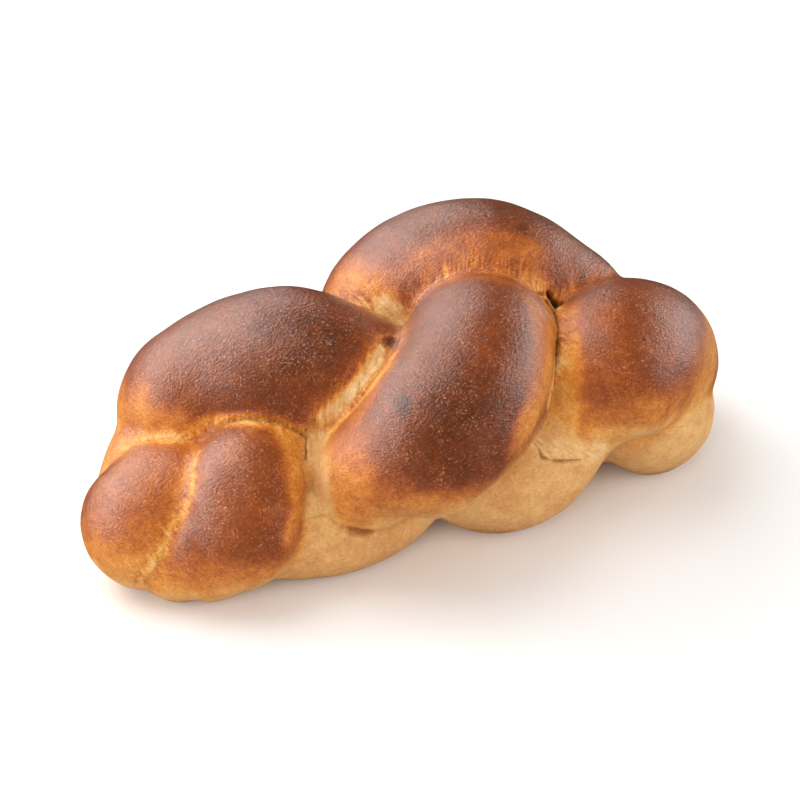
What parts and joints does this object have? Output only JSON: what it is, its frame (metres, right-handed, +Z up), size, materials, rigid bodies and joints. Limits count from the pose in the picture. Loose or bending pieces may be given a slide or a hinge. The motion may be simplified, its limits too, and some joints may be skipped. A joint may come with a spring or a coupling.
{
  "type": "braided loaf",
  "caption": "Plump plaited milk loaf: fat lobes of dark glazed crust over both sides, pale baked creases between them, tucked ends and a flat base to rest on.",
  "frame": {"origin": "middle of the loaf's bounding box at its base, on the surface it rests on", "axes": "+X along the loaf towards its broad end, -Y towards the side with the great front lobe, +Z up"},
  "size_m": [0.2396, 0.1254, 0.0939],
  "materials": {
    "crust": "baked egg-washed crust: deep chestnut and satin-glossy on top, amber at the lobe edges, pale straw and matt in the creases and low on the sides"
  },
  "bodies": {
    "root": {"loaf": "crust"}
  },
  "joints": []
}
